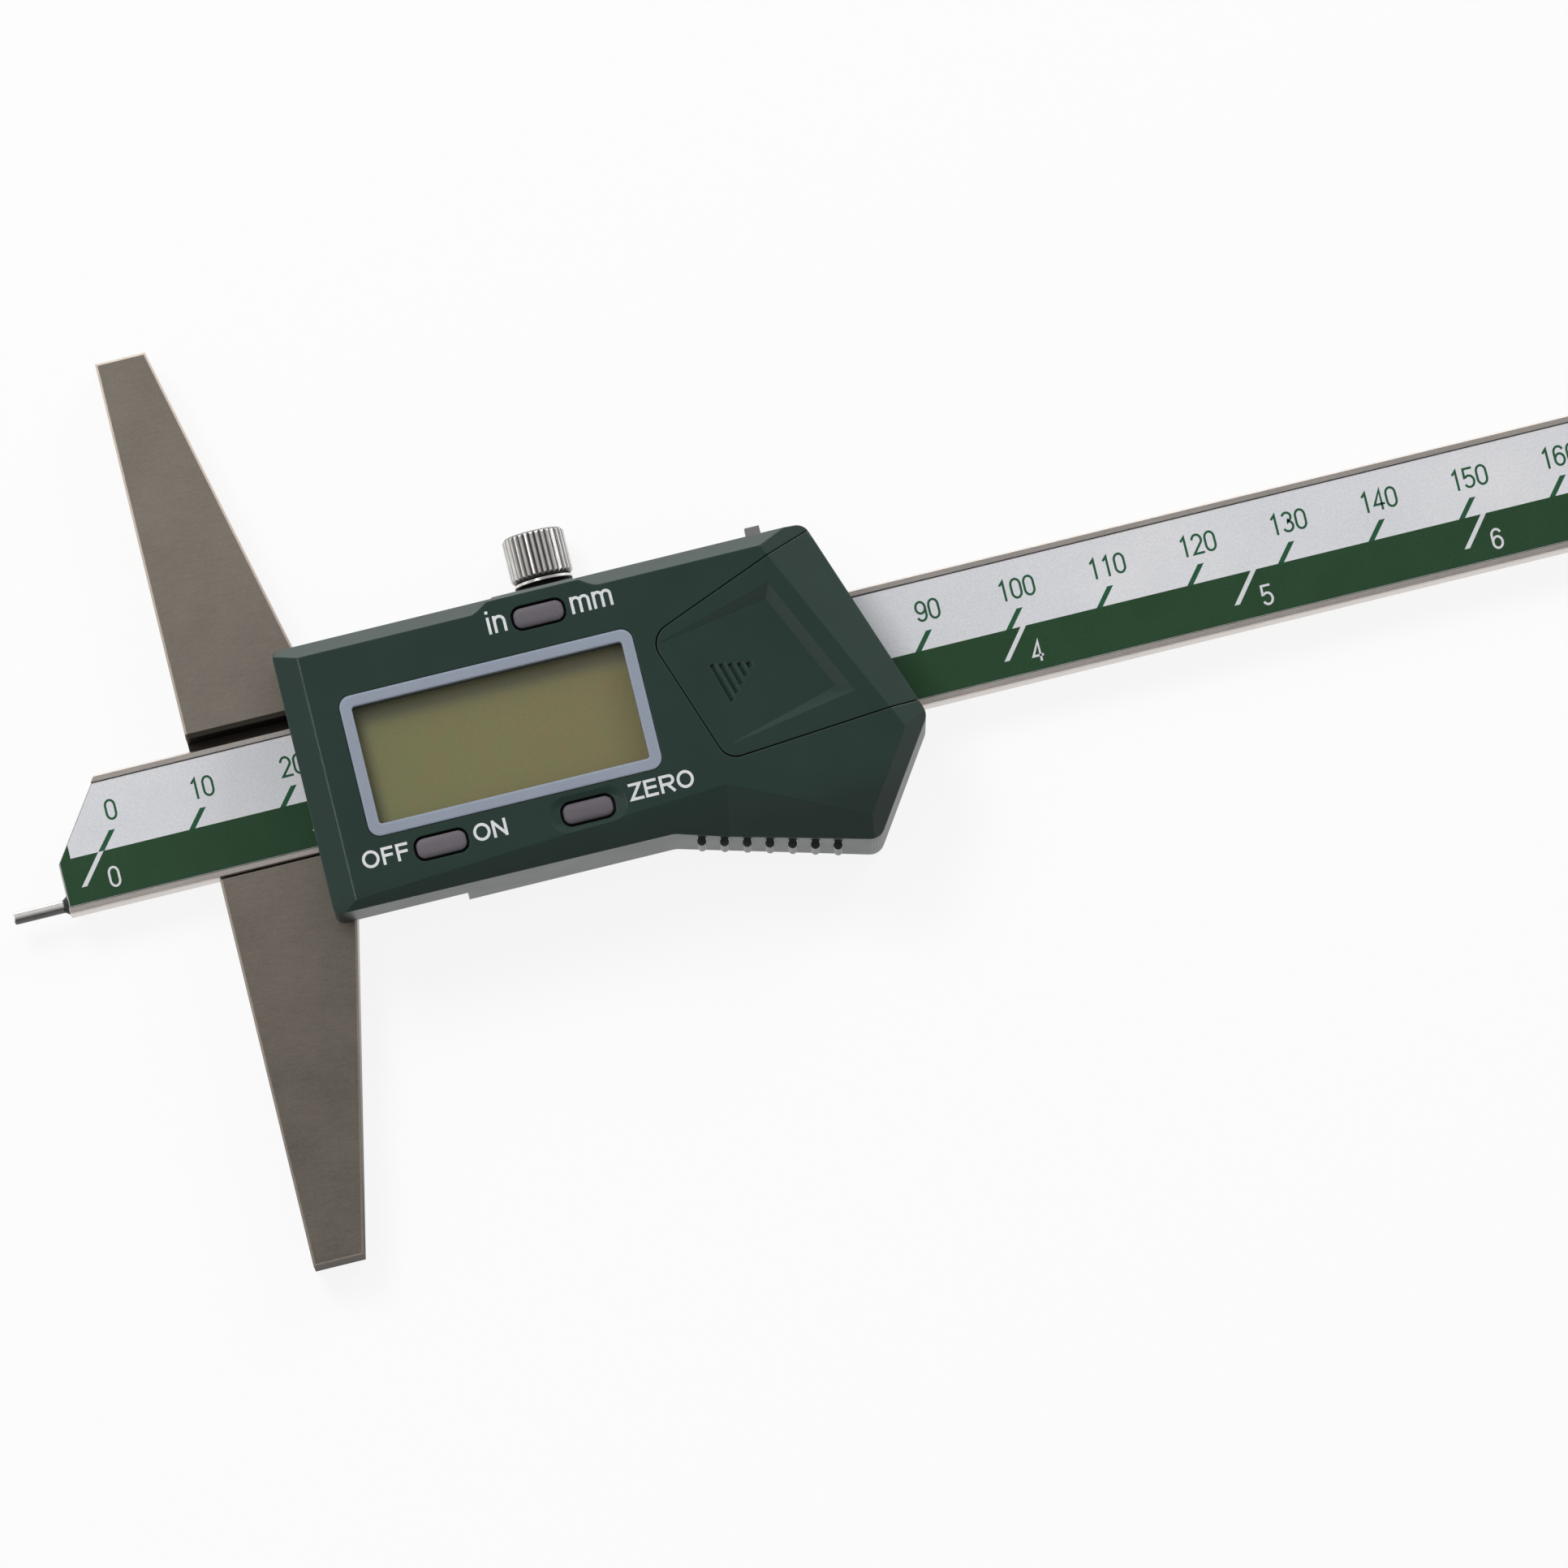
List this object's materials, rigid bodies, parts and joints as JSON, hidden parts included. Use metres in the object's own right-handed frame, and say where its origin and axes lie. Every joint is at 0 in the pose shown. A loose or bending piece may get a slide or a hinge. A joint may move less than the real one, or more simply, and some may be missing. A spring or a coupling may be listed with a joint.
{
  "type": "depth gauge",
  "caption": "Digital depth gauge with a pin tip: printed steel beam in a tapered base, dark green slider with a display, push buttons, a knurled lock screw and a battery cover.",
  "frame": {"origin": "on the measuring face, in the middle of the beam's width, on the plane that the gauge lies on", "axes": "+X along the beam, away from its tip; +Y along the measuring face towards the lock screw; +Z out of the display. The beam's tip points to -X."},
  "size_m": [0.286, 0.1, 0.0163],
  "materials": {
    "steel": "fine ground, satin",
    "dark_steel": "blackened",
    "bright_steel": "turned and polished",
    "label": "printed film, satin",
    "circuit": "circuit board with solder mask",
    "housing": "moulded, satin",
    "bezel": "satin",
    "window": "clear, polished",
    "lcd": "reflective display, grey-green",
    "zebra": "layered conductive rubber",
    "epoxy": "cast epoxy drop",
    "button": "moulded, satin",
    "switch": "moulded, matt",
    "cell": "nickel-plated steel can",
    "spring_brass": "spring strip",
    "port": "moulded, matt"
  },
  "bodies": {
    "slider": {"base_bar": "steel", "base_screws": "dark_steel", "slider_frame": "steel", "gib_strip": "spring_brass", "gib_screws": "dark_steel", "front_housing": "housing", "lcd_bezel": "bezel", "lcd_window": "window", "lcd_panel": "lcd", "zebra_strips": "zebra", "main_board": "circuit", "chip_blob": "epoxy", "button_switches": "switch", "button_cell": "cell", "cell_contact_minus": "spring_brass", "cell_contact_plus": "spring_brass", "port_block": "switch", "port_contacts": "spring_brass", "housing_screws": "dark_steel"},
    "beam": {"beam": "steel", "scale_strip": "circuit", "scale_film": "label", "tip_pin": "bright_steel", "stop_screw": "dark_steel"},
    "lock_screw": {"lock_screw": "bright_steel", "lock_pad": "spring_brass"},
    "unit_button": {"unit_button": "button"},
    "power_button": {"power_button": "button"},
    "zero_button": {"zero_button": "button"},
    "battery_cover": {"battery_cover": "housing"},
    "port_cover": {"port_cover": "port"}
  },
  "joints": [
    {"name": "beam_slide", "type": "slide", "parent": "slider", "child": "beam", "axis": [-1, 0, 0], "range_m": [-0.0224, 0.1776]},
    {"name": "lock_turn", "type": "hinge", "parent": "slider", "child": "lock_screw", "pos_m": [0.0412, 0, 0.0035], "axis": [0, 1, 0], "range_deg": [0, 180]},
    {"name": "unit_button_press", "type": "slide", "parent": "slider", "child": "unit_button", "axis": [0, 0, -1], "range_m": [0, 0.0005], "stiffness_N_per_m": 2000, "springref_m": -0.0002},
    {"name": "power_button_press", "type": "slide", "parent": "slider", "child": "power_button", "axis": [0, 0, -1], "range_m": [0, 0.0005], "stiffness_N_per_m": 2000, "springref_m": -0.0002},
    {"name": "zero_button_press", "type": "slide", "parent": "slider", "child": "zero_button", "axis": [0, 0, -1], "range_m": [0, 0.0005], "stiffness_N_per_m": 2000, "springref_m": -0.0002},
    {"name": "battery_cover_slide", "type": "slide", "parent": "slider", "child": "battery_cover", "axis": [0.9455, 0.3256, 0], "range_m": [0, 0.02]},
    {"name": "port_cover_slide", "type": "slide", "parent": "slider", "child": "port_cover", "axis": [-1, 0, 0], "range_m": [0, 0.007]}
  ]
}
